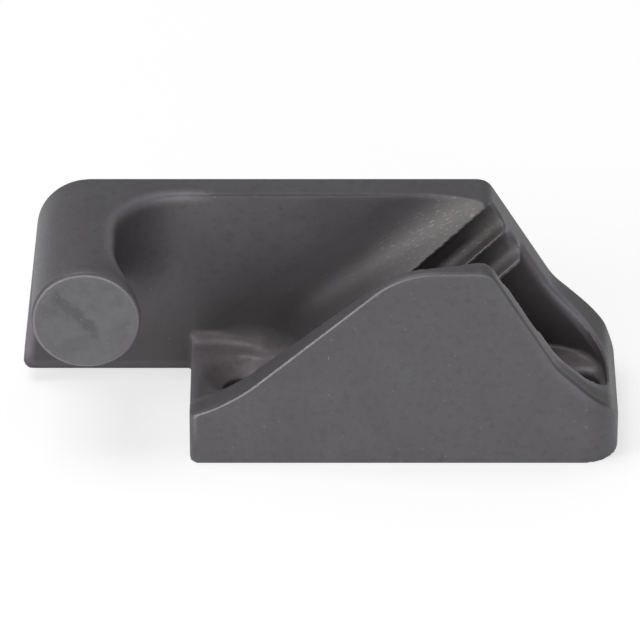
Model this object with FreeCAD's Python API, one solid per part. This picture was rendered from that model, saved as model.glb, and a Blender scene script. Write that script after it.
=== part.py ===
import FreeCAD, Part

import math
import os

# Jam cleat: one aluminium casting with a fairlead post, a ribbed channel and two screw seats
# Working frame while it is built: x from the left end, y from the near face, z up from the deck
# All sizes are in millimetres and all angles in degrees

Vector = FreeCAD.Vector

# Overall body
LENGTH = 82.7
WIDTH = 26.2
HEIGHT = 30.3
BLOCK_LEFT = 23.75

# Entry slope of the block, from the low left end up to the crest
TOE_HEIGHT = 7.7
TOE_RUN = 5.5
TOE_RISE = 1.9
TOE_ROUND = 25.0
CREST_LENGTH = 12.2
ENTRY_ROUND = 13.0

# Back slope and tail of the block
CREST_SETBACK = 17.9
KNEE_SETBACK = 8.6
KNEE_RISE = 8.0
TAIL_HEIGHT = 7.0
CREST_ROUND = 2.4
KNEE_ROUND = 9.0
TAIL_EDGE = 5.4
TAIL_BEVEL = 1.2
TAIL_ROUND = 3.0

# Corners and edges of the block seen from above and along its rim
TAIL_CORNER = 5.0
LEFT_CORNER = 1.4
RIM_ROUND = 0.55
MOUTH_ROUND = 1.0

# Far wall, which runs past the block to carry the post
WALL_THICKNESS = 4.7
WALL_LIFT = 2.05
WALL_RAKE = 6.4
WALL_FOOT_ROUND = 1.4

# Fairlead post and the rope groove round it
POST_RADIUS = 7.5
POST_EDGE = 0.45
GROOVE_DEPTH = 3.7
GROOVE_ROUND = 8.8
GROOVE_LIP = 0.9
POST_COLLAR = 2.5
POST_WEB = 6.0

# Channel between the walls
FLOOR_HEIGHT = 6.9
FLOOR_ROUND = 2.0
NEAR_WALL_TOP = 1.7
NEAR_WALL_DRAFT = 6.5

# Grip: a narrow vee with ribs that slope down towards the load
VEE_FLOOR = 8.6
VEE_ROUND = 1.5
FAR_CREST_STAND = 2.55
NEAR_CREST_STAND = 2.95
RIB_START = 0.2
RIB_ANGLE = 41.0
RIB_PITCH = 6.55
RIB_LAND = 0.4
RIB_COUNT = 3
LAST_RIB_WIDTH = 0.8
TROUGH_SINK = 0.6
TROUGH_FLOOR = 9.4
RAMP_ANGLE = 38.1
RAMP_LEAD = 4.4
RAMP_ROUND = 7.0

# Pocket at the tail, round the rear screw
POCKET_FLOOR = 6.0
POCKET_END_WALL = 1.5
POCKET_CORNER = 4.5
POCKET_FAR_CORNER = 9.5
POCKET_STEP_SETBACK = 22.0

# Screws: a countersunk seat that opens upwards from its root on the bore
SCREW_BORE = 5.2
SEAT_ANGLE = 90.0
FRONT_SEAT = 2.5
REAR_SEAT = 0.7
FRONT_SCREW = 30.8
SCREW_SPACING = 47.0
SCREW_OFFSET = 0.6

# How close a point counts as on a face
TOUCH = 0.01


def tangent_corner(before, corner, after, radius):
    """Ends and middle of the arc that rounds one corner of an outline."""
    to_before = (before - corner).normalize()
    to_after = (after - corner).normalize()
    half = to_before.getAngle(to_after) / 2.0
    reach = radius / math.tan(half)
    start = corner + to_before * reach
    end = corner + to_after * reach
    bisector = (to_before + to_after).normalize()
    centre = corner + bisector * (radius / math.sin(half))
    middle = centre - bisector * radius
    return start, middle, end


def rounded_face(points, radii):
    """Flat face inside an outline whose corners are rounded by the radii, where 0 is sharp."""
    count = len(points)
    starts = []
    ends = []
    arcs = []
    for index, corner in enumerate(points):
        radius = radii[index]
        if radius > 0:
            before = points[index - 1]
            after = points[(index + 1) % count]
            start, middle, end = tangent_corner(before, corner, after, radius)
            arcs.append(Part.Arc(start, middle, end).toShape())
        else:
            start = corner
            end = corner
            arcs.append(None)
        starts.append(start)
        ends.append(end)
    edges = []
    for index in range(count):
        if arcs[index] is not None:
            edges.append(arcs[index])
        following = (index + 1) % count
        if (starts[following] - ends[index]).Length > TOUCH:
            edges.append(Part.LineSegment(ends[index], starts[following]).toShape())
    return Part.Face(Part.Wire(edges))


def side_face(corners, y):
    """Flat face in a plane of constant y from (x, z, radius) corners."""
    points = [Vector(x, y, z) for x, z, radius in corners]
    return rounded_face(points, [radius for x, z, radius in corners])


def plan_face(corners, z):
    """Flat face in a level plane from (x, y, radius) corners."""
    points = [Vector(x, y, z) for x, y, radius in corners]
    return rounded_face(points, [radius for x, y, radius in corners])


def box(low, high):
    """Solid box between two corners given as (x, y, z)."""
    size = [high[axis] - low[axis] for axis in range(3)]
    return Part.makeBox(size[0], size[1], size[2], Vector(*low))


def tail_corners():
    """Outline corners of the tail, from the deck up the end face and the back slope to the crest."""
    fall = KNEE_RISE / KNEE_SETBACK
    return [
        (LENGTH, 0.0, 0.0),
        (LENGTH, TAIL_EDGE, 0.0),
        (LENGTH - TAIL_BEVEL, TAIL_HEIGHT + TAIL_BEVEL * fall, TAIL_ROUND),
        (LENGTH - KNEE_SETBACK, TAIL_HEIGHT + KNEE_RISE, KNEE_ROUND),
        (LENGTH - CREST_SETBACK, HEIGHT, CREST_ROUND),
    ]


def block_side():
    """Side outline of the block, run across the whole width."""
    crest_x = LENGTH - CREST_SETBACK
    corners = [(BLOCK_LEFT, 0.0, 0.0)]
    corners += tail_corners()
    corners += [
        (crest_x - CREST_LENGTH, HEIGHT, ENTRY_ROUND),
        (BLOCK_LEFT + TOE_RUN, TOE_HEIGHT + TOE_RISE, TOE_ROUND),
        (BLOCK_LEFT, TOE_HEIGHT, 0.0),
    ]
    return side_face(corners, 0.0).extrude(Vector(0, WIDTH, 0))


def wall_side(y):
    """Side outline of the far wall with its raised foot, from y back to the outer face."""
    top_left = (HEIGHT - WALL_LIFT) * math.tan(math.radians(WALL_RAKE))
    inside_block = BLOCK_LEFT + WALL_THICKNESS
    inside_crest = LENGTH - CREST_SETBACK - CREST_ROUND
    corners = [
        (0.0, WALL_LIFT, WALL_FOOT_ROUND),
        (inside_block, WALL_LIFT, 0.0),
        (inside_block, 0.0, 0.0),
        (inside_crest, 0.0, 0.0),
        (inside_crest, HEIGHT, 0.0),
        (top_left, HEIGHT, POST_RADIUS),
    ]
    return side_face(corners, y).extrude(Vector(0, WIDTH - y, 0))


def blank():
    """Block and far wall in one piece, trimmed to the plan outline, before anything is cut."""
    inside_crest = LENGTH - CREST_SETBACK - CREST_ROUND
    root = box((BLOCK_LEFT, WALL_FACE - RAMP_ROUND, 0), (inside_crest, WIDTH, HEIGHT))
    solid = block_side().fuse([wall_side(WALL_FACE), root])
    plan = [
        (BLOCK_LEFT, 0.0, LEFT_CORNER),
        (LENGTH, 0.0, TAIL_CORNER),
        (LENGTH, WIDTH, TAIL_CORNER),
        (-REACH, WIDTH, 0.0),
        (-REACH, WALL_FACE, 0.0),
        (BLOCK_LEFT, WALL_FACE, 0.0),
    ]
    solid = solid.common(plan_face(plan, 0.0).extrude(Vector(0, 0, HEIGHT))).removeSplitter()
    return solid.makeFillet(RIM_ROUND, rim_edges(solid, 0.0))


def rim_edges(solid, y):
    """Top edges of one outer face, without its upright edges and its foot."""
    found = []
    for edge in solid.Edges:
        ends = [edge.Vertexes[0].Point, edge.Vertexes[-1].Point]
        on_face = all(abs(end.y - y) < TOUCH and end.z > WALL_LIFT for end in ends)
        if on_face and abs(ends[0].x - ends[1].x) > TOUCH:
            found.append(edge)
    return found


def groove_section():
    """Section of the rope groove beside the post, as (distance from the axis, y, radius) corners."""
    depth_y = math.sqrt(GROOVE_ROUND ** 2 - (GROOVE_ROUND - GROOVE_DEPTH) ** 2)
    near = GROOVE_LIP + depth_y - GROOVE_ROUND
    neck = POST_RADIUS - GROOVE_DEPTH
    return [
        (neck, near, GROOVE_ROUND),
        (REACH, near, 0.0),
        (REACH, WALL_FACE, 0.0),
        (neck, WALL_FACE, GROOVE_ROUND),
    ]


def rope_groove():
    """Cutter for the groove that runs down the right of the post, round under it and out to the left."""
    axis = Vector(POST_X, 0, POST_Z)
    section = groove_section()
    beside = rounded_face([axis + Vector(d, y, 0) for d, y, r in section], [r for d, y, r in section])
    below = rounded_face([axis + Vector(0, y, -d) for d, y, r in section], [r for d, y, r in section])
    down = beside.extrude(Vector(0, 0, REACH))
    turn = beside.revolve(axis, Vector(0, 1, 0), 90)
    out = below.extrude(Vector(-REACH, 0, 0))
    return down.fuse([turn, out])


def post_top():
    """Upper right part of the post: round at the head, and flat where it joins the wall."""
    axis = Vector(POST_X, POST_COLLAR, POST_Z)
    spokes = []
    steps = 4
    for step in range(steps + 1):
        turn = math.radians(90 - 90 * step / steps)
        spokes.append(axis + Vector(math.cos(turn), 0, math.sin(turn)) * POST_RADIUS)
    head = Part.Wire([
        Part.LineSegment(axis, spokes[0]).toShape(),
        Part.Arc(spokes[0], spokes[1], spokes[2]).toShape(),
        Part.Arc(spokes[2], spokes[3], spokes[4]).toShape(),
        Part.LineSegment(spokes[4], axis).toShape(),
    ])
    web = FLARE_RADIUS
    at_wall = [Vector(0, 0, 0), Vector(0, 0, POST_RADIUS), Vector(web, 0, POST_RADIUS), Vector(web, 0, 0)]
    back = Vector(POST_X, WALL_FACE, POST_Z)
    root = Part.makePolygon([back + step for step in at_wall + at_wall[:1]])
    return Part.makeLoft([head, root], True, True)


def post():
    """Fairlead post with its flared root, cut by the rope groove."""
    axis = Vector(POST_X, 0, POST_Z)
    along = Vector(0, 1, 0)
    shaft = Part.makeCylinder(POST_RADIUS, WALL_FACE, axis, along)
    flare_start = WALL_FACE - GROOVE_ROUND
    flare = Part.makeCylinder(FLARE_RADIUS, GROOVE_ROUND, axis + Vector(0, flare_start, 0), along)
    lower_right = box((POST_X, 0, 0), (POST_X + FLARE_RADIUS, WALL_FACE, POST_Z))
    left = POST_X - POST_WEB
    lower_left = box((left, flare_start, POST_Z - FLARE_RADIUS), (POST_X, WALL_FACE, POST_Z))
    solid = shaft.fuse([flare.common(lower_right), lower_left, post_top()])
    solid = solid.cut(rope_groove()).removeSplitter()
    rim = [edge for edge in solid.Edges if is_head_rim(edge)]
    return solid.makeChamfer(POST_EDGE, rim)


def is_head_rim(edge):
    """True for the round edge of the post's flat end."""
    return all(abs(vertex.Point.y) < TOUCH for vertex in edge.Vertexes) and edge.Length > POST_RADIUS


def crest_line(index, side):
    """Top point and direction of one rib crest. Side is 1 for the far wall and -1 for the near wall."""
    start = Vector(FIRST_RIB + index * RIB_PITCH, CHANNEL_CENTRE + side * VEE_TOP_WIDTH / 2, HEIGHT)
    rise = math.tan(math.radians(RIB_ANGLE))
    direction = Vector(1, side * rise * math.tan(VEE_HALF_ANGLE), rise)
    return start, direction


def near_side(lift):
    """Distance of the near wall's drafted inner face from its outer face, at a height above the deck."""
    return NEAR_WALL_TOP + (HEIGHT - lift) * math.tan(math.radians(NEAR_WALL_DRAFT))


def between_walls(left, right, floor):
    """Space between the inner faces of the two walls, from a floor to well above the crest."""
    high = HEIGHT + OVERCUT
    section = [
        Vector(left, near_side(floor), floor),
        Vector(left, near_side(high), high),
        Vector(left, WALL_FACE, high),
        Vector(left, WALL_FACE, floor),
    ]
    return Part.Face(Part.makePolygon(section + section[:1])).extrude(Vector(right - left, 0, 0))


def entry_outline(height):
    """Plan of the wide entry at one height: the two walls and the feet of the two ramps."""
    far, far_way = crest_line(0, 1)
    near, near_way = crest_line(0, -1)
    fall = (height - HEIGHT) / far_way.z
    ramp_x = far.x - RAMP_LEAD + (height - HEIGHT) / math.tan(math.radians(RAMP_ANGLE))
    left = BLOCK_LEFT - RAMP_ROUND
    points = [
        Vector(left, near_side(height), height),
        Vector(left, WALL_FACE, height),
        Vector(ramp_x, WALL_FACE, height),
        far + far_way * fall,
        near + near_way * fall,
        Vector(ramp_x, near_side(height), height),
    ]
    return Part.makePolygon(points + points[:1])


def is_crease(edge):
    """True for the straight edges that climb along the foot of each ramp."""
    start = edge.Vertexes[0].Point
    end = edge.Vertexes[-1].Point
    rise = abs(end.z - start.z)
    steep = math.tan(math.radians(RAMP_ANGLE))
    return rise > HEIGHT / 2 and abs(abs(end.x - start.x) * steep - rise) < TOUCH * rise


def is_floor_edge(edge):
    """True for the edges where the entry floor meets the far wall and the far ramp."""
    ends = [edge.Vertexes[0].Point, edge.Vertexes[-1].Point]
    on_floor = all(abs(end.z - FLOOR_HEIGHT) < TOUCH for end in ends)
    beyond = all(end.y > CHANNEL_CENTRE for end in ends)
    return on_floor and beyond and abs(ends[0].x - ends[1].x) > TOUCH


def entry_recess():
    """Cutter for the wide entry, down to the floor and back to the two ramps."""
    high = HEIGHT + OVERCUT
    space = Part.makeLoft([entry_outline(FLOOR_HEIGHT), entry_outline(high)], True, True)
    space = space.makeFillet(RAMP_ROUND, [edge for edge in space.Edges if is_crease(edge)])
    return space.makeFillet(FLOOR_ROUND, [edge for edge in space.Edges if is_floor_edge(edge)])


def vee():
    """Cutter for the narrow vee between the rib crests."""
    top = HEIGHT + OVERCUT
    apex = VEE_FLOOR + VEE_ROUND - VEE_ROUND / math.sin(VEE_HALF_ANGLE)
    half = (top - apex) * math.tan(VEE_HALF_ANGLE)
    left = BLOCK_LEFT
    points = [
        Vector(left, CHANNEL_CENTRE, apex),
        Vector(left, CHANNEL_CENTRE + half, top),
        Vector(left, CHANNEL_CENTRE - half, top),
    ]
    return rounded_face(points, [VEE_ROUND, 0.0, 0.0]).extrude(Vector(LENGTH, 0, 0))


def pocket_crest():
    """Top point and direction of the back of the last rib, where the pocket starts."""
    start, direction = crest_line(RIB_COUNT - 1, 1)
    return start + Vector(LAST_RIB_WIDTH - RIB_LAND / 2, 0, 0), direction


def is_mouth_edge(edge):
    """True for the inner edges where the vee and the last rib meet the back slope."""
    crest = Vector(LENGTH - CREST_SETBACK, 0, HEIGHT)
    knee = Vector(LENGTH - KNEE_SETBACK, 0, TAIL_HEIGHT + KNEE_RISE)
    normal = (knee - crest).cross(Vector(0, 1, 0)).normalize()
    last, direction = pocket_crest()
    for vertex in edge.Vertexes:
        point = vertex.Point
        if abs((point - crest).dot(normal)) > TOUCH:
            return False
        if (point - last).cross(Vector(direction.x, 0, direction.z)).y < -TOUCH:
            return False
        if not near_side(point.z) - TOUCH < point.y < WALL_FACE + TOUCH:
            return False
    return True


def trough(index, side):
    """Cutter for the round groove between one rib and the next, parallel to their crests."""
    start, direction = crest_line(index, side)
    along = Vector(direction).normalize()
    across = (Vector(1, 0, 0) - along * along.x) * (RIB_PITCH / 2)
    radius = across.Length - RIB_LAND / 2
    inward = along.cross(across).normalize() * side
    axis = start + across + inward * TROUGH_SINK
    cutter = Part.makeCylinder(radius, 2 * REACH, axis - along * REACH, along)
    return cutter.common(box((BLOCK_LEFT, 0, TROUGH_FLOOR), (LENGTH, WIDTH, HEIGHT)))


def tail_pocket():
    """Cutter for the pocket behind the last rib, with the steep end of that rib as its left side."""
    start, direction = pocket_crest()
    high = HEIGHT + OVERCUT
    right = LENGTH - POCKET_END_WALL
    step_z = VEE_FLOOR
    profile = [
        (start.x + (high - HEIGHT) / direction.z, high, 0.0),
        (start.x - (HEIGHT - step_z) / direction.z, step_z, 0.0),
        (LENGTH - POCKET_STEP_SETBACK, POCKET_FLOOR, 0.0),
        (right, POCKET_FLOOR, 0.0),
        (right, high, 0.0),
    ]
    shape = side_face(profile, 0.0).extrude(Vector(0, WALL_FACE, 0))
    shape = shape.common(between_walls(BLOCK_LEFT, LENGTH, POCKET_FLOOR))
    plan = [
        (BLOCK_LEFT, 0.0, 0.0),
        (right, near_side(POCKET_FLOOR), POCKET_CORNER),
        (right, WALL_FACE, POCKET_FAR_CORNER),
        (BLOCK_LEFT, WALL_FACE, 0.0),
    ]
    return shape.common(plan_face(plan, 0.0).extrude(Vector(0, 0, 2 * HEIGHT)))


def screw_cut(x, floor, depth):
    """Cutter for one screw: the bore, and a seat of some depth that widens up to the floor round it."""
    spread = math.tan(math.radians(SEAT_ANGLE / 2))
    radius = SCREW_BORE / 2
    bore = Part.makeCylinder(radius, HEIGHT, Vector(x, SCREW_LINE, floor - HEIGHT))
    seat = Part.makeCone(radius, radius + depth * spread, depth, Vector(x, SCREW_LINE, floor - depth))
    return bore.fuse(seat)


def main():
    body = blank()
    for cutter in [entry_recess(), vee(), tail_pocket()]:
        body = body.cut(cutter)
    body = body.removeSplitter()
    body = body.makeFillet(MOUTH_ROUND, [edge for edge in body.Edges if is_mouth_edge(edge)])
    cutters = [trough(index, side) for side in (1, -1) for index in range(RIB_COUNT - 1)]
    cutters.append(screw_cut(FRONT_SCREW, FLOOR_HEIGHT, FRONT_SEAT))
    cutters.append(screw_cut(FRONT_SCREW + SCREW_SPACING, POCKET_FLOOR, REAR_SEAT))
    for cutter in cutters:
        body = body.cut(cutter)
    body = body.fuse(post()).removeSplitter().Solids[0]
    # The finished part stands on the deck with the middle of its outline over the origin
    body.translate(Vector(-(LEFT_END + LENGTH) / 2, -WIDTH / 2, 0))
    os.makedirs("parts", exist_ok=True)
    body.exportStep("parts/cleat_body.step")


# Places that follow from the sizes, and how far cutters run past what they cut
REACH = LENGTH
OVERCUT = 2 * RIM_ROUND
RAKE = math.radians(WALL_RAKE)
WALL_FACE = WIDTH - WALL_THICKNESS
FAR_CREST = WALL_FACE - FAR_CREST_STAND
NEAR_CREST = NEAR_WALL_TOP + NEAR_CREST_STAND
CHANNEL_CENTRE = (FAR_CREST + NEAR_CREST) / 2
VEE_TOP_WIDTH = FAR_CREST - NEAR_CREST
SCREW_LINE = CHANNEL_CENTRE + SCREW_OFFSET
POST_Z = HEIGHT - POST_RADIUS
POST_X = (POST_Z - WALL_LIFT) * math.tan(RAKE) + POST_RADIUS / math.cos(RAKE)
FLARE_RADIUS = POST_RADIUS - GROOVE_DEPTH + GROOVE_ROUND
LEFT_END = WALL_FOOT_ROUND * ((1 + math.sin(RAKE)) / math.cos(RAKE) - 1)
FIRST_RIB = LENGTH - CREST_SETBACK + RIB_START
VEE_DEPTH = HEIGHT - VEE_FLOOR - VEE_ROUND
VEE_LEAN = math.atan2(VEE_DEPTH, VEE_TOP_WIDTH / 2)
VEE_HALF_ANGLE = math.acos(VEE_ROUND / math.hypot(VEE_TOP_WIDTH / 2, VEE_DEPTH)) - VEE_LEAN

main()
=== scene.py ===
"""Jam cleat for a small rope: one sand-textured aluminium casting with a dark matt anodised skin."""

import logging
import math
from dataclasses import dataclass, field
from enum import Enum

import bmesh
import bpy
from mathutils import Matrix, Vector


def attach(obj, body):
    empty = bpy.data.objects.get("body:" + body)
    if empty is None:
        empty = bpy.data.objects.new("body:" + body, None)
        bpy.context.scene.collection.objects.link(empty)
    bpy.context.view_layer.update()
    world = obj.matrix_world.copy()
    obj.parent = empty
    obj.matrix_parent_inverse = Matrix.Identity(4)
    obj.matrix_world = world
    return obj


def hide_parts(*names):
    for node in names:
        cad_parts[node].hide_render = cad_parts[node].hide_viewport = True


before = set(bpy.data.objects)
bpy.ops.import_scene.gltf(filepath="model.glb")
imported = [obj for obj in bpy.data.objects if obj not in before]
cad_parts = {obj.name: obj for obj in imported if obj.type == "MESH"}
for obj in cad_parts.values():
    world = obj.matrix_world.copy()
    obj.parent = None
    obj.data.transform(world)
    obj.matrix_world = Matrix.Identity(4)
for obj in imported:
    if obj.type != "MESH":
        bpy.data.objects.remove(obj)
log = logging.getLogger("jam_cleat")

MM = 0.001
Triple = tuple[float, float, float]
Socket = bpy.types.NodeSocket
Tree = bpy.types.NodeTree


class LampSide(Enum):
    """Where a soft box stands, seen from the camera."""

    FRONT = "front"
    OVERHEAD = "overhead"
    LEFT = "left"


class Axis(Enum):
    """Axis of the piece, as the nodes name it."""

    LENGTH = "X"
    WIDTH = "Y"
    HEIGHT = "Z"


class Facing(Enum):
    """Directions that a surface of the piece may face."""

    UP = (0.0, 0.0, 1.0)
    NEAR = (0.0, -1.0, 0.0)
    LEFT = (-1.0, 0.0, 0.0)
    UPPER_LEFT = (-0.5, 0.0, 0.87)
    ROPE_RAMP = (-0.37, -0.74, 0.56)


@dataclass(frozen=True)
class Ramp:
    """An even change from a low to a high result between two limits of a value."""

    start: float
    end: float
    low: float = 0.0
    high: float = 1.0


class Nodes:
    """Short ways to add the nodes that the skin is made of."""

    openness_samples = 4

    def __init__(self, tree: Tree) -> None:
        """Starts in a node tree.

        Args:
            tree: Node tree of the material.
        """
        self.tree = tree
        self.coordinates = tree.nodes.new("ShaderNodeTexCoord")
        self.place = self.coordinates.outputs["Object"]

    def noise(self, size: float, detail: float, stretch: Triple = (1.0, 1.0, 1.0)) -> Socket:
        """Adds a noise texture whose features are about one size.

        Args:
            size: Feature size in millimetres.
            detail: Number of finer layers.
            stretch: How much longer the features are along X, Y and Z.

        Returns:
            The socket with the noise value.
        """
        spread = self.tree.nodes.new("ShaderNodeMapping")
        spread.inputs["Scale"].default_value = tuple(1.0 / length for length in stretch)
        node = self.tree.nodes.new("ShaderNodeTexNoise")
        node.inputs["Scale"].default_value = 1.0 / (size * MM)
        node.inputs["Detail"].default_value = detail
        self.tree.links.new(self.place, spread.inputs["Vector"])
        self.tree.links.new(spread.outputs["Vector"], node.inputs["Vector"])
        return node.outputs["Fac"]

    def ramp(self, value: Socket, limits: Ramp, scale: float = 1.0) -> Socket:
        """Stretches a range of a value over another range.

        Args:
            value: Socket to stretch.
            limits: The two ranges.
            scale: Size of the unit that the limits are given in.

        Returns:
            The stretched socket.
        """
        node = self.tree.nodes.new("ShaderNodeMapRange")
        node.inputs["From Min"].default_value = limits.start * scale
        node.inputs["From Max"].default_value = limits.end * scale
        node.inputs["To Min"].default_value = limits.low
        node.inputs["To Max"].default_value = limits.high
        self.tree.links.new(value, node.inputs["Value"])
        return node.outputs["Result"]

    def _join(self, operation: str, first: Socket, others: tuple[Socket, ...]) -> Socket:
        """Joins values one after the other by an operation.

        Args:
            operation: Name of the operation.
            first: First socket.
            others: Sockets that follow it.

        Returns:
            The socket with the result.
        """
        result = first
        for other in others:
            node = self.tree.nodes.new("ShaderNodeMath")
            node.operation = operation
            self.tree.links.new(result, node.inputs[0])
            self.tree.links.new(other, node.inputs[1])
            result = node.outputs["Value"]
        return result

    def product(self, first: Socket, *others: Socket) -> Socket:
        """Multiplies values."""
        return self._join("MULTIPLY", first, others)

    def total(self, first: Socket, *others: Socket) -> Socket:
        """Adds values."""
        return self._join("ADD", first, others)

    def blend(self, share: Socket, under: Triple | Socket, over: Triple) -> Socket:
        """Lays one colour over another by a share.

        Args:
            share: Socket with the share of the upper colour.
            under: Lower colour, or the socket that gives it.
            over: Upper colour.

        Returns:
            The socket with the mixed colour.
        """
        node = self.tree.nodes.new("ShaderNodeMix")
        node.data_type = "RGBA"
        self.tree.links.new(share, node.inputs["Factor"])
        lower, upper = [socket for socket in node.inputs if socket.type == "RGBA"]
        if isinstance(under, bpy.types.NodeSocket):
            self.tree.links.new(under, lower)
        else:
            lower.default_value = (*under, 1.0)
        upper.default_value = (*over, 1.0)
        return next(socket for socket in node.outputs if socket.type == "RGBA")

    def bump(self, height: Socket, depth: float, below: Socket | None) -> Socket:
        """Adds a relief from a height texture.

        Args:
            height: Socket with the height from 0 to 1.
            depth: Depth of the relief in millimetres.
            below: Normal that the relief is laid over, if any.

        Returns:
            The socket with the new normal.
        """
        node = self.tree.nodes.new("ShaderNodeBump")
        node.inputs["Distance"].default_value = depth * MM
        self.tree.links.new(height, node.inputs["Height"])
        if below is not None:
            self.tree.links.new(below, node.inputs["Normal"])
        return node.outputs["Normal"]

    def openness(self, reach: float, inside: bool) -> Socket:
        """Adds a measure of how open the piece is around a point.

        Args:
            reach: How far to look, in millimetres.
            inside: Looks into the metal, which finds the outer edges.

        Returns:
            The socket, 1 where nothing is near.
        """
        node = self.tree.nodes.new("ShaderNodeAmbientOcclusion")
        node.inputs["Distance"].default_value = reach * MM
        node.inside = inside
        node.only_local = True
        node.samples = self.openness_samples
        return node.outputs["AO"]

    def facing(self, direction: Facing, limits: Ramp) -> Socket:
        """Finds where the surface faces a direction.

        Args:
            direction: Direction of the piece.
            limits: Ramp over the squareness, which is 1 where the surface faces it.

        Returns:
            The socket with the share.
        """
        node = self.tree.nodes.new("ShaderNodeVectorMath")
        node.operation = "DOT_PRODUCT"
        node.inputs[1].default_value = direction.value
        self.tree.links.new(self.coordinates.outputs["Normal"], node.inputs[0])
        return self.ramp(node.outputs["Value"], limits)

    def along(self, axis: Axis) -> Socket:
        """Adds the place along one axis of the piece.

        Args:
            axis: Axis to measure on.

        Returns:
            The socket with the place in metres.
        """
        node = self.tree.nodes.new("ShaderNodeSeparateXYZ")
        self.tree.links.new(self.place, node.inputs["Vector"])
        return node.outputs[axis.value]

    def span(self, axis: Axis, limits: Ramp) -> Socket:
        """Ramps between two places along one axis, given in millimetres."""
        return self.ramp(self.along(axis), limits, MM)


@dataclass(frozen=True)
class CastFinish:
    """Dark matt anodised skin over a fine cast grain.

    Sizes and places are in millimetres and colours are linear.
    """

    name: str = "anodised casting"
    colour: Triple = (0.100, 0.095, 0.104)
    cloud_colour: Triple = (0.112, 0.108, 0.116)
    mottle_colour: Triple = (0.087, 0.080, 0.085)
    # painted shade: browner and a little darker where the piece closes round the surface
    painted_recess_shade_colour: Triple = (0.104, 0.088, 0.090)
    # painted light: paler in the deepest recesses, where little lamp light reaches
    painted_recess_light_colour: Triple = (0.116, 0.097, 0.104)
    # painted shade on the lower ramp, the foot of the tall wall, the left side and the top of the tail
    # end
    painted_shade_colour: Triple = (0.062, 0.056, 0.060)
    # painted light on the low floors that face up inside the channel and the pockets
    painted_floor_light_colour: Triple = (0.205, 0.183, 0.194)
    scrape_colour: Triple = (0.090, 0.088, 0.092)
    ground_colour: Triple = (0.150, 0.147, 0.156)
    # rope-worn paler metal on the ramp, also painted light that brightens its upper end
    rope_wear_and_light_colour: Triple = (0.140, 0.131, 0.130)
    # painted highlight on the soft rims round the groove and the pocket
    painted_rim_highlight_colour: Triple = (0.240, 0.230, 0.255)
    rope_colour: Triple = (0.29, 0.265, 0.240)
    speck_colour: Triple = (0.30, 0.29, 0.28)
    # painted highlight along the thin near edges
    painted_edge_highlight_colour: Triple = (0.55, 0.54, 0.57)

    metallic: float = 0.25
    roughness: Ramp = Ramp(0.3, 0.7, 0.39, 0.55)
    grain_size: float = 0.22
    grain_layers: float = 3.0
    grain_depth: float = 0.030
    mottle_size: float = 1.1
    mottle_layers: float = 3.0
    dent_depth: float = 0.014
    cloud_size: float = 7.0
    cloud_layers: float = 4.0
    patch_size: float = 2.4
    patch_layers: float = 6.0
    ragged_size: float = 0.9
    ragged_layers: float = 3.0
    speck_size: float = 0.40
    speck_layers: float = 1.0
    scuff_size: float = 0.24
    scuff_layers: float = 2.0
    scuff_stretch: Triple = (3.5, 0.6, 2.4)

    cloud_share: Ramp = Ramp(0.35, 0.70)
    mottle_share: Ramp = Ramp(0.50, 0.80)
    speck_share: Ramp = Ramp(0.76, 0.82, 0.0, 0.8)
    shelter_reach: float = 14.0
    # range of the painted recess shade
    recess_shade_share: Ramp = Ramp(0.92, 0.60)
    # range of the painted recess light
    recess_light_share: Ramp = Ramp(0.55, 0.10)

    # where the painted floor light lies
    floor_light_facing: Ramp = Ramp(0.1, 0.5)
    floor_light_height: Ramp = Ramp(10.0, 7.5)
    floor_light_inside: Ramp = Ramp(0.98, 0.88)
    floor_light_mottle: Ramp = Ramp(0.2, 0.6, 0.6, 1.0)

    # where the painted shade lies: lower ramp, foot of the tall wall, left side and tail end
    ramp_shade_facing: Ramp = Ramp(0.78, 0.92)
    ramp_shade_run: Ramp = Ramp(18.0, 6.0, 0.0, 0.95)
    wall_shade_facing: Ramp = Ramp(0.6, 0.95)
    wall_shade_side: Ramp = Ramp(0.0, 4.0)
    wall_shade_height: Ramp = Ramp(15.0, 7.0, 0.0, 0.8)
    left_shade: Ramp = Ramp(0.4, 0.9, 0.0, 0.35)
    tail_shade_facing: Ramp = Ramp(0.15, 0.5)
    tail_shade_run: Ramp = Ramp(31.0, 38.0, 0.0, 0.9)

    # the rope track; its run also shapes the painted light up the ramp
    track_facing: Ramp = Ramp(0.88, 0.97)
    track_run: Ramp = Ramp(6.0, 18.0)
    track_grain: Ramp = Ramp(0.2, 0.5, 0.4, 1.0)
    scuff_share: Ramp = Ramp(0.60, 0.70)

    ground_facing: Ramp = Ramp(0.96, 0.99)
    ground_side: Ramp = Ramp(-12.3, -12.6)
    ground_run: Ramp = Ramp(-24.0, -24.5)
    patch_share: Ramp = Ramp(0.38, 0.62, 0.40, 0.95)
    scrape_ragged: Ramp = Ramp(0.2, 0.8, -0.9 * MM, 0.9 * MM)
    scrape_lower: Ramp = Ramp(-10.5, -9.8)
    scrape_upper: Ramp = Ramp(-7.7, -8.4)
    scrape_start: Ramp = Ramp(-36.4, -35.4)
    scrape_end: Ramp = Ramp(-29.4, -30.4)
    scrape_share: Ramp = Ramp(0.0, 1.0, 0.0, 0.75)

    # where the painted rim highlight lies
    rim_reach: float = 1.7
    rim_share: Ramp = Ramp(0.90, 0.72)
    rim_groove: Ramp = Ramp(-14.0, -18.0)
    rim_tail: Ramp = Ramp(24.0, 32.0)
    rim_past_tail: Ramp = Ramp(36.5, 39.0, 1.0, 0.25)
    rim_off_post: Ramp = Ramp(-12.2, -10.2, 0.25, 1.0)
    rim_inner: Ramp = Ramp(10.9, 10.4)
    rim_grain: Ramp = Ramp(0.2, 0.5, 0.5, 1.0)

    above_foot: Ramp = Ramp(2.5, 5.0)
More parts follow.
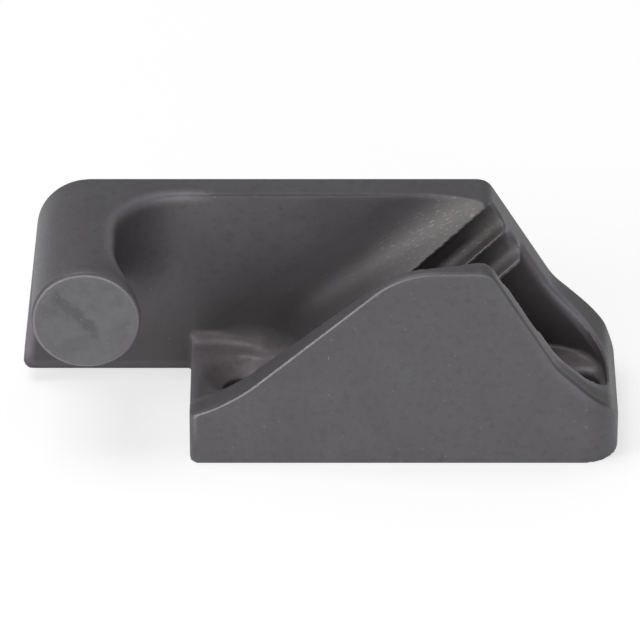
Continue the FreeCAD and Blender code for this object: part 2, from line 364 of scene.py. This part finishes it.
    # where the painted edge highlight lies
    edge_reach: float = 0.8
    edge_share: Ramp = Ramp(0.99, 0.88)
    edge_turned: Ramp = Ramp(0.72, 0.84)
    edge_flat: Ramp = Ramp(0.985, 0.95)
    edge_fade: Ramp = Ramp(4.0, 16.0, 1.0, 0.2)
    edge_upper: Ramp = Ramp(-0.5, 0.35, 0.1, 1.0)
    edge_grain: Ramp = Ramp(0.25, 0.50, 0.5, 1.0)

    def build(self) -> bpy.types.Material:
        """Makes the node material of the skin.

        Returns:
            The finished material.
        """
        material = bpy.data.materials.new(self.name)
        material.use_nodes = True
        nodes = Nodes(material.node_tree)
        shader = material.node_tree.nodes["Principled BSDF"]
        shader.inputs["Metallic"].default_value = self.metallic
        grain = nodes.noise(self.grain_size, self.grain_layers)
        mottle = nodes.noise(self.mottle_size, self.mottle_layers)
        # skin colour with real wear, painted light on the ramp and painted highlights
        worn_and_highlit = self._wear_and_highlights(nodes, self._skin(nodes, mottle), grain)
        coarse = nodes.bump(mottle, self.dent_depth, None)
        links = material.node_tree.links
        links.new(worn_and_highlit, shader.inputs["Base Color"])
        links.new(nodes.ramp(grain, self.roughness), shader.inputs["Roughness"])
        links.new(nodes.bump(grain, self.grain_depth, coarse), shader.inputs["Normal"])
        return material

    def _skin(self, nodes: Nodes, mottle: Socket) -> Socket:
        """Mixes the skin's own tone with painted shade and light: browner and darker where the part
        closes round it, paler in its deepest recesses and on its low floors that face up, and darker on
        the lower ramp, the wall's foot, the left side and the tail end.

        Args:
            nodes: Maker of nodes.
            mottle: Noise of the mottled tone.

        Returns:
            The socket with the colour.
        """
        cloud = nodes.ramp(nodes.noise(self.cloud_size, self.cloud_layers), self.cloud_share)
        clouds = nodes.blend(cloud, self.colour, self.cloud_colour)
        tone = nodes.blend(nodes.ramp(mottle, self.mottle_share), clouds, self.mottle_colour)
        openness = nodes.openness(self.shelter_reach, False)
        # painted shade: browner and darker where the piece closes round the surface
        recess_shaded = nodes.blend(nodes.ramp(openness, self.recess_shade_share), tone, self.painted_recess_shade_colour)
        # painted light: paler in the deepest recesses
        recess_lit = nodes.blend(nodes.ramp(openness, self.recess_light_share), recess_shaded, self.painted_recess_light_colour)
        # painted shade on the lower ramp, the wall's foot, the left side and the tail end
        shaded = nodes.blend(self._painted_shade(nodes), recess_lit, self.painted_shade_colour)
        # painted light on the low floors that face up in the recesses
        floor_light = nodes.product(
            nodes.facing(Facing.UP, self.floor_light_facing),
            nodes.span(Axis.HEIGHT, self.floor_light_height),
            nodes.ramp(openness, self.floor_light_inside),
            nodes.ramp(mottle, self.floor_light_mottle),
        )
        return nodes.blend(floor_light, shaded, self.painted_floor_light_colour)

    def _painted_shade(self, nodes: Nodes) -> Socket:
        """Finds the painted shade on the lower ramp, the foot of the tall wall, the left side and the
        top of the tail end.

        Args:
            nodes: Maker of nodes.

        Returns:
            The socket with the share of painted shade.
        """
        wall = nodes.product(
            nodes.facing(Facing.NEAR, self.wall_shade_facing),
            nodes.span(Axis.WIDTH, self.wall_shade_side),
            nodes.span(Axis.HEIGHT, self.wall_shade_height),
        )
        ramp = nodes.product(
            nodes.facing(Facing.ROPE_RAMP, self.ramp_shade_facing),
            nodes.span(Axis.LENGTH, self.ramp_shade_run),
        )
        tail = nodes.product(
            nodes.facing(Facing.UP, self.tail_shade_facing),
            nodes.span(Axis.LENGTH, self.tail_shade_run),
        )
        return nodes.total(wall, nodes.facing(Facing.LEFT, self.left_shade), ramp, tail)

    def _wear_and_highlights(self, nodes: Nodes, skin: Socket, grain: Socket) -> Socket:
        """Adds the rope's wear on the ramp with painted light on its upper part, the ground post end,
        the pale grains, and the painted highlights on the soft rims and the near edges.

        Args:
            nodes: Maker of nodes.
            skin: Colour of the skin.
            grain: Noise of the cast grain.

        Returns:
            The socket with the colour.
        """
        track = nodes.product(
            nodes.facing(Facing.ROPE_RAMP, self.track_facing),
            nodes.span(Axis.LENGTH, self.track_run),
        )
        # rope-worn paler metal, also painted light that brightens the ramp towards its upper end
        polish_and_light = nodes.product(track, nodes.ramp(grain, self.track_grain))
        rope_worn_and_lit = nodes.blend(polish_and_light, skin, self.rope_wear_and_light_colour)
        scuffs = nodes.noise(self.scuff_size, self.scuff_layers, self.scuff_stretch)
        scuff = nodes.product(track, nodes.ramp(scuffs, self.scuff_share))
        scuffed = nodes.blend(scuff, rope_worn_and_lit, self.rope_colour)
        # painted highlight on the soft rims round the groove and the pocket
        rim_highlit = nodes.blend(self._painted_rim_highlight(nodes, grain), scuffed, self.painted_rim_highlight_colour)
        scraped = self._ground_end(nodes, rim_highlit)
        specks = nodes.ramp(nodes.noise(self.speck_size, self.speck_layers), self.speck_share)
        speckled = nodes.blend(specks, scraped, self.speck_colour)
        # painted highlight along the thin near edges
        return nodes.blend(self._painted_edge_highlight(nodes, grain), speckled, self.painted_edge_highlight_colour)

    def _ground_end(self, nodes: Nodes, skin: Socket) -> Socket:
        """Lays the patchy ground metal and the slanting scrape on the post's flat end.

        Args:
            nodes: Maker of nodes.
            skin: Colour below.

        Returns:
            The socket with the colour.
        """
        end = nodes.product(
            nodes.facing(Facing.NEAR, self.ground_facing),
            nodes.span(Axis.WIDTH, self.ground_side),
            nodes.span(Axis.LENGTH, self.ground_run),
        )
        patches = nodes.ramp(nodes.noise(self.patch_size, self.patch_layers), self.patch_share)
        ground = nodes.blend(nodes.product(end, patches), skin, self.ground_colour)
        return nodes.blend(nodes.product(end, self._scrape_band(nodes)), ground, self.scrape_colour)

    def _scrape_band(self, nodes: Nodes) -> Socket:
        """Finds the slanting scrape across the post's ground end, with a ragged outline.

        Args:
            nodes: Maker of nodes.

        Returns:
            The socket with the share of the scrape.
        """
        ragged = nodes.ramp(nodes.noise(self.ragged_size, self.ragged_layers), self.scrape_ragged)
        across = nodes.total(nodes.along(Axis.LENGTH), nodes.along(Axis.HEIGHT), ragged)
        band = nodes.product(
            nodes.ramp(across, self.scrape_lower, MM),
            nodes.ramp(across, self.scrape_upper, MM),
            nodes.span(Axis.LENGTH, self.scrape_start),
            nodes.span(Axis.LENGTH, self.scrape_end),
        )
        return nodes.ramp(band, self.scrape_share)

    def _painted_rim_highlight(self, nodes: Nodes, grain: Socket) -> Socket:
        """Finds the soft rims round the groove and the pocket, which get a painted highlight.

        Args:
            nodes: Maker of nodes.
            grain: Noise of the cast grain.

        Returns:
            The socket with the share of painted highlight.
        """
        ends = nodes.total(
            nodes.span(Axis.LENGTH, self.rim_groove),
            nodes.span(Axis.LENGTH, self.rim_tail),
        )
        return nodes.product(
            nodes.ramp(nodes.openness(self.rim_reach, True), self.rim_share),
            ends,
            nodes.span(Axis.WIDTH, self.rim_inner),
            nodes.span(Axis.LENGTH, self.rim_past_tail),
            nodes.span(Axis.WIDTH, self.rim_off_post),
            nodes.span(Axis.HEIGHT, self.above_foot),
            nodes.ramp(grain, self.rim_grain),
        )

    def _painted_edge_highlight(self, nodes: Nodes, grain: Socket) -> Socket:
        """Finds the thin line where the ground near faces end, which gets a painted highlight, strongest
        towards the upper left.

        Args:
            nodes: Maker of nodes.
            grain: Noise of the cast grain.

        Returns:
            The socket with the share of painted highlight.
        """
        return nodes.product(
            nodes.ramp(nodes.openness(self.edge_reach, True), self.edge_share),
            nodes.facing(Facing.NEAR, self.edge_turned),
            nodes.facing(Facing.NEAR, self.edge_flat),
            nodes.span(Axis.WIDTH, self.ground_side),
            nodes.span(Axis.HEIGHT, self.above_foot),
            nodes.span(Axis.LENGTH, self.edge_fade),
            nodes.facing(Facing.UPPER_LEFT, self.edge_upper),
            nodes.ramp(grain, self.edge_grain),
        )


@dataclass(frozen=True)
class SoftRim:
    """A stretch of edges that the mould leaves rounder than the rest, as a box in millimetres."""

    name: str
    low: Triple
    high: Triple
    rounds: int
    fade: float = 1.0

    def share(self, place: Vector) -> float:
        """How far a point belongs to the stretch.

        Args:
            place: Point in millimetres.

        Returns:
            1 well inside the box, 0 outside it and a share near its sides.
        """
        from_low = min(value - side for value, side in zip(place, self.low))
        from_high = min(side - value for value, side in zip(place, self.high))
        return min(max(min(from_low, from_high) / self.fade, 0.0), 1.0)


@dataclass
class Casting:
    """The cleat's single casting, with the soft edges that a mould and blasting leave."""

    node: str = "cleat_body"
    name: str = "casting"
    merge_distance: float = 0.0005
    voxel: float = 0.25
    edge_rounds: int = 4
    smooth_share: float = 0.5
    triangle_limit: int = 190000
    finish: CastFinish = field(default_factory=CastFinish)
    rims: tuple[SoftRim, ...] = (
        SoftRim("groove rim", (-32.0, -10.6, 28.0), (-15.0, 10.9, 31.5), 60),
        SoftRim("wall rim", (-16.5, 6.0, 28.8), (24.5, 10.4, 31.5), 16),
        SoftRim("back slope rim", (25.5, 6.2, 8.0), (38.5, 10.8, 29.0), 70),
        SoftRim("near rim", (14.0, -12.2, 9.0), (37.0, -8.6, 31.5), 10, 0.5),
        SoftRim("near scoops", (20.5, -12.2, 19.5), (31.5, -7.0, 31.0), 45, 0.8),
        SoftRim("near teeth", (21.2, -10.6, 19.0), (30.5, -5.2, 31.5), 160, 1.0),
        SoftRim("front seat rim", (-17.5, -7.5, 6.1), (-3.5, 6.2, 7.7), 30, 0.6),
        SoftRim("rear seat rim", (30.0, -7.5, 5.2), (40.2, 6.5, 7.0), 50, 0.6),
    )
    scrape_middle: Triple = (-32.6, -13.1, 23.5)
    scrape_half_length: float = 4.6
    scrape_half_width: float = 1.3
    scrape_depth: float = 0.14
    scrape_skin: float = 0.2

    def build(self) -> bpy.types.Object:
        """Copies the CAD form, rounds its edges and dresses it.

        Returns:
            The finished casting.
        """
        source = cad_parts[self.node]
        mesh = source.data.copy()
        mesh.name = self.name
        mesh.materials.clear()
        self._merge(mesh)
        piece = bpy.data.objects.new(self.name, mesh)
        bpy.context.scene.collection.objects.link(piece)
        self._even_skin(piece)
        self._scrape(piece)
        self._soften(piece)
        piece.data.materials.append(self.finish.build())
        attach(piece, "root")
        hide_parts(self.node)
        return piece

    def _merge(self, mesh: bpy.types.Mesh) -> None:
        """Joins the loose triangles of a CAD mesh into one closed skin.

        Args:
            mesh: Mesh to change.
        """
        shape = bmesh.new()
        shape.from_mesh(mesh)
        bmesh.ops.remove_doubles(shape, verts=shape.verts, dist=self.merge_distance * MM)
        bmesh.ops.recalc_face_normals(shape, faces=shape.faces)
        shape.to_mesh(mesh)
        shape.free()

    def _even_skin(self, piece: bpy.types.Object) -> None:
        """Replaces the long CAD triangles by small even faces.

        Args:
            piece: Casting to change.
        """
        remesh = piece.modifiers.new("even skin", "REMESH")
        remesh.mode = "VOXEL"
        remesh.voxel_size = self.voxel * MM
        remesh.use_smooth_shade = True
        self._apply(piece)

    def _scrape(self, piece: bpy.types.Object) -> None:
        """Presses the shallow slanting hollow into the post's ground end.

        Args:
            piece: Casting to change.
        """
        middle = Vector(self.scrape_middle)
        along = Vector((1.0, 0.0, -1.0)).normalized()
        across = Vector((1.0, 0.0, 1.0)).normalized()
        for vertex in piece.data.vertices:
            offset = vertex.co / MM - middle
            if offset.y > self.scrape_skin:
                continue
            wide = abs(offset.dot(across)) / self.scrape_half_width
            far = abs(offset.dot(along)) / self.scrape_half_length
            if wide < 1.0 and far < 1.0:
                vertex.co.y += self.scrape_depth * MM * (1.0 - wide ** 2) * (1.0 - far ** 4)

    def _soften(self, piece: bpy.types.Object) -> None:
        """Rounds every edge a little and the soft rims more, then thins the flat parts.

        Args:
            piece: Casting to change.
        """
        for rim in self.rims:
            group = piece.vertex_groups.new(name=rim.name)
            for vertex in piece.data.vertices:
                share = rim.share(vertex.co / MM)
                if share > 0.0:
                    group.add([vertex.index], share, "REPLACE")
            self._smooth(piece, rim.rounds).vertex_group = rim.name
        self._smooth(piece, self.edge_rounds)
        thin = piece.modifiers.new("thin flats", "DECIMATE")
        thin.ratio = min(1.0, self.triangle_limit / (2 * len(piece.data.polygons)))
        self._apply(piece)
        piece.vertex_groups.clear()

    def _smooth(self, piece: bpy.types.Object, rounds: int) -> bpy.types.Modifier:
        """Adds a smoothing pass.

        Args:
            piece: Casting to change.
            rounds: Number of times each point moves towards its neighbours.

        Returns:
            The modifier.
        """
        smooth = piece.modifiers.new("soft edges", "SMOOTH")
        smooth.factor = self.smooth_share
        smooth.iterations = rounds
        return smooth

    def _apply(self, piece: bpy.types.Object) -> None:
        """Makes the result of the modifiers the piece's own mesh.

        Args:
            piece: Casting to change.
        """
        graph = bpy.context.evaluated_depsgraph_get()
        skin = bpy.data.meshes.new_from_object(piece.evaluated_get(graph))
        piece.modifiers.clear()
        rough = piece.data
        piece.data = skin
        bpy.data.meshes.remove(rough)
        skin.name = self.name


@dataclass
class SoftBox:
    """One large soft lamp that looks at the middle of the part."""

    side: LampSide
    place: Triple
    size: float
    watts: float

    def build(self, target: Vector) -> None:
        """Hangs the lamp.

        Args:
            target: Point that the lamp faces.
        """
        lamp = bpy.data.lights.new(f"{self.side.value} soft box", "AREA")
        lamp.shape = "SQUARE"
        lamp.size = self.size
        lamp.energy = self.watts
        holder = bpy.data.objects.new(lamp.name, lamp)
        holder.location = self.place
        holder.rotation_euler = (target - Vector(self.place)).to_track_quat("-Z", "Y").to_euler()
        bpy.context.scene.collection.objects.link(holder)


@dataclass
class Studio:
    """Pale floor, plain surround and the lamps."""

    floor_half: float = 3.0
    floor_colour: Triple = (0.86, 0.86, 0.86)
    floor_roughness: float = 0.9
    sky_level: float = 0.34
    shown_colour: Triple = (0.45, 0.45, 0.45)
    shown_glow: float = 0.66
    lamp_target: Triple = (0.0, 0.0, 0.012)
    lamps: tuple[SoftBox, ...] = (
        SoftBox(LampSide.LEFT, (-0.80, -0.48, 0.36), 0.35, 3.5),
        SoftBox(LampSide.FRONT, (0.10, -0.98, 0.14), 0.45, 2.4),
        SoftBox(LampSide.OVERHEAD, (-0.30, 0.0, 0.90), 0.50, 3.0),
    )

    def build(self) -> None:
        """Makes the floor, the surround and the lamps."""
        self._floor()
        self._surround()
        for lamp in self.lamps:
            lamp.build(Vector(self.lamp_target))

    def _floor(self) -> None:
        """Lays the pale floor that catches the soft shadow."""
        shape = bmesh.new()
        bmesh.ops.create_grid(shape, x_segments=1, y_segments=1, size=self.floor_half)
        mesh = bpy.data.meshes.new("floor")
        shape.to_mesh(mesh)
        shape.free()
        floor = bpy.data.objects.new("floor", mesh)
        bpy.context.scene.collection.objects.link(floor)
        mesh.materials.append(self._floor_finish())

    def _floor_finish(self) -> bpy.types.Material:
        """Makes the floor's finish, which looks white in a picture or a reflection and keeps the shadow.

        Returns:
            The finished material.
        """
        material = bpy.data.materials.new("pale floor")
        material.use_nodes = True
        tree = material.node_tree
        plain = tree.nodes["Principled BSDF"]
        plain.inputs["Base Color"].default_value = (*self.floor_colour, 1.0)
        plain.inputs["Roughness"].default_value = self.floor_roughness
        shade = tree.nodes.new("ShaderNodeBsdfDiffuse")
        shade.inputs["Color"].default_value = (*self.shown_colour, 1.0)
        glow = tree.nodes.new("ShaderNodeEmission")
        glow.inputs["Strength"].default_value = self.shown_glow
        shown = tree.nodes.new("ShaderNodeAddShader")
        tree.links.new(shade.outputs["BSDF"], shown.inputs[0])
        tree.links.new(glow.outputs["Emission"], shown.inputs[1])
        pick = tree.nodes.new("ShaderNodeMixShader")
        tree.links.new(self._seen(tree), pick.inputs["Fac"])
        tree.links.new(plain.outputs["BSDF"], pick.inputs[1])
        tree.links.new(shown.outputs["Shader"], pick.inputs[2])
        tree.links.new(pick.outputs["Shader"], tree.nodes["Material Output"].inputs["Surface"])
        return material

    def _surround(self) -> None:
        """Makes a plain grey surround that fills the shadows softly."""
        world = bpy.data.worlds.new("surround")
        world.use_nodes = True
        tree = world.node_tree
        soft = tree.nodes["Background"]
        soft.inputs["Color"].default_value = (1.0, 1.0, 1.0, 1.0)
        soft.inputs["Strength"].default_value = self.sky_level
        bpy.context.scene.world = world

    @staticmethod
    def _seen(tree: Tree) -> Socket:
        """Adds a switch that is on for camera, glossy and clear rays.

        Args:
            tree: Node tree of the floor.

        Returns:
            The socket of the switch.
        """
        path = tree.nodes.new("ShaderNodeLightPath")
        total = path.outputs["Is Camera Ray"]
        for extra in ("Is Glossy Ray", "Is Transmission Ray"):
            add = tree.nodes.new("ShaderNodeMath")
            add.operation = "ADD"
            add.use_clamp = True
            tree.links.new(total, add.inputs[0])
            tree.links.new(path.outputs[extra], add.inputs[1])
            total = add.outputs["Value"]
        return total


@dataclass
class Viewpoint:
    """Camera at the photograph's angle: square to the long side, a third of the way up."""

    aim: Triple = (0.000217, -0.0001, 0.015)
    elevation: float = 31.0
    distance: float = 0.9
    rise: float = 0.000165
    pixels_per_mm: float = 7.25
    frame_pixels: int = 640
    sensor: float = 36.0
    far_limit: float = 20.0

    def build(self) -> None:
        """Places the camera and makes it the scene's own."""
        tilt = math.radians(self.elevation)
        back = Vector((0.0, -math.cos(tilt), math.sin(tilt)))
        up = Vector((0.0, math.sin(tilt), math.cos(tilt)))
        lens = bpy.data.cameras.new("viewpoint")
        lens.sensor_width = self.sensor
        lens.lens = self.sensor * self.pixels_per_mm * self.distance / MM / self.frame_pixels
        lens.clip_end = self.far_limit
        holder = bpy.data.objects.new("viewpoint", lens)
        holder.location = Vector(self.aim) + up * self.rise + back * self.distance
        holder.rotation_euler = (math.pi / 2 - tilt, 0.0, 0.0)
        bpy.context.scene.collection.objects.link(holder)
        bpy.context.scene.camera = holder


def main() -> None:
    """Builds the camera, the studio and the casting, and logs the casting's face count."""
    logging.basicConfig(level=logging.INFO)
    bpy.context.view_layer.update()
    Viewpoint().build()
    Studio().build()
    piece = Casting().build()
    log.info("%s: %d faces", piece.name, len(piece.data.polygons))
    bpy.context.scene.view_settings.view_transform = "Standard"


if __name__ == "__main__":
    main()
